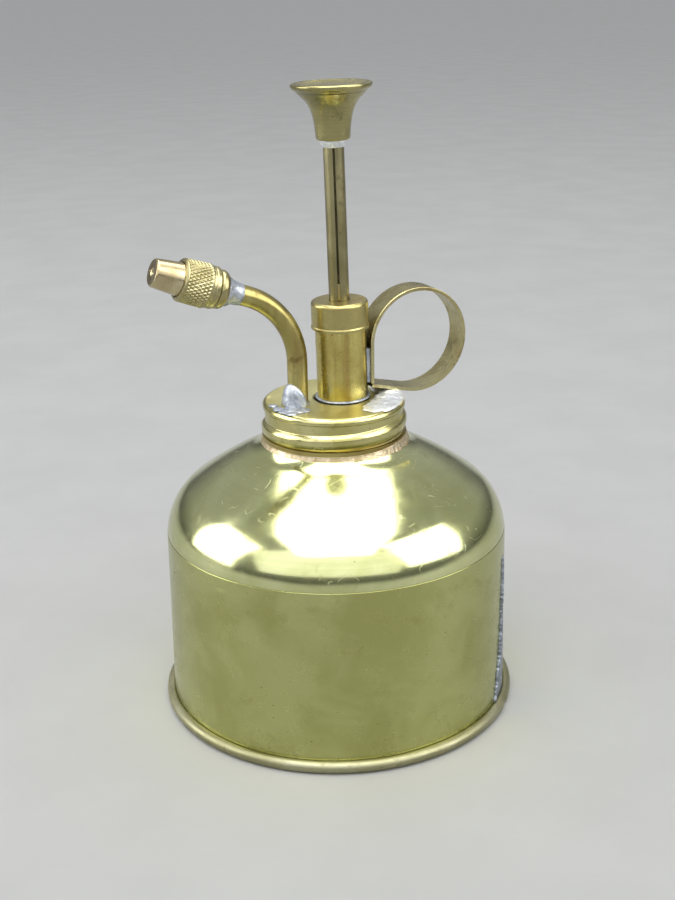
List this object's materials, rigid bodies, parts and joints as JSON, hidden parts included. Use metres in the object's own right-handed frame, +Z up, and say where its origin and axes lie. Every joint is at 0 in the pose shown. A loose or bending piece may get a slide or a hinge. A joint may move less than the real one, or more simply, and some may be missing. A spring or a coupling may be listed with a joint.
{
  "type": "plant mister",
  "caption": "Thumb-pump plant mister: round domed water can with a screw cap carrying the pump, finger ring and a bent spout with an adjustable spray nozzle.",
  "frame": {"origin": "centre of the base, on the surface that the base bead rests on", "axes": "+Z up along the can's axis; the spout and nozzle point towards -X and the finger ring is on the +X side; the XZ plane runs through the spout, the pump and the ring"},
  "size_m": [0.086, 0.086, 0.1464],
  "materials": {
    "polished_brass": "polished",
    "aged_brass": "satin",
    "turned_brass": "satin",
    "solder": "satin",
    "steel": "polished",
    "leather": "matte",
    "fibre": "matte"
  },
  "bodies": {
    "reservoir": {"reservoir_wall": "polished_brass", "reservoir_dome": "polished_brass", "base_plate": "polished_brass", "neck_collar": "aged_brass", "neck_solder": "solder", "seam_solder": "solder"},
    "washer": {"cap_washer": "leather"},
    "pump_head": {"screw_cap": "polished_brass", "pump_barrel": "aged_brass", "barrel_cap": "aged_brass", "foot_valve_body": "aged_brass", "inlet_pin": "steel", "outlet_pin": "steel", "passage_plug": "turned_brass", "suction_tube": "aged_brass", "strainer": "aged_brass", "delivery_tube": "aged_brass", "nozzle_adapter": "turned_brass", "nozzle_solder": "solder", "finger_ring": "polished_brass", "spout_solder": "solder", "ring_solder": "solder", "leg_solder": "solder", "barrel_solder": "solder", "return_spring": "steel"},
    "plunger": {"plunger_rod": "aged_brass", "thumb_knob": "turned_brass", "knob_solder": "solder", "piston_carrier": "turned_brass", "leather_cup": "leather", "piston_washer": "turned_brass", "piston_nut": "turned_brass"},
    "inlet_valve": {"inlet_ball": "steel"},
    "outlet_valve": {"outlet_ball": "steel"},
    "nozzle": {"nozzle_tip": "turned_brass", "swirl_core": "turned_brass", "nozzle_washer": "fibre"},
    "nozzle_union": {"nozzle_nut": "turned_brass"}
  },
  "joints": [
    {"name": "head_lift", "type": "slide", "parent": "reservoir", "child": "washer", "axis": [0, 0, 1], "range_m": [0, 0.0048]},
    {"name": "head_turn", "type": "hinge", "parent": "washer", "child": "pump_head", "pos_m": [0, 0, 0.0748], "axis": [0, 0, 1], "range_deg": [0, 541]},
    {"name": "plunger_press", "type": "slide", "parent": "pump_head", "child": "plunger", "axis": [0.0227, 0, -0.9997], "range_m": [0, 0.032], "stiffness_N_per_m": 400, "springref_m": -0.01, "deforming": ["return_spring"]},
    {"name": "inlet_ball_lift", "type": "slide", "parent": "pump_head", "child": "inlet_valve", "axis": [-0.0227, 0, 0.9997], "range_m": [0, 0.0014]},
    {"name": "outlet_ball_lift", "type": "slide", "parent": "pump_head", "child": "outlet_valve", "axis": [0, 0, 1], "range_m": [0, 0.0011]},
    {"name": "nozzle_advance", "type": "slide", "parent": "pump_head", "child": "nozzle", "axis": [-0.9415, 0, 0.3371], "range_m": [0, 0.0024]},
    {"name": "nozzle_turn", "type": "hinge", "parent": "nozzle", "child": "nozzle_union", "pos_m": [-0.0418, 0, 0.1089], "axis": [-0.9415, 0, 0.3371], "range_deg": [0, 1081]}
  ],
  "couplings": [
    {"joint": "head_turn", "follows": "head_lift", "rad_per_m": 1963.5},
    {"joint": "nozzle_turn", "follows": "nozzle_advance", "rad_per_m": 7854}
  ]
}
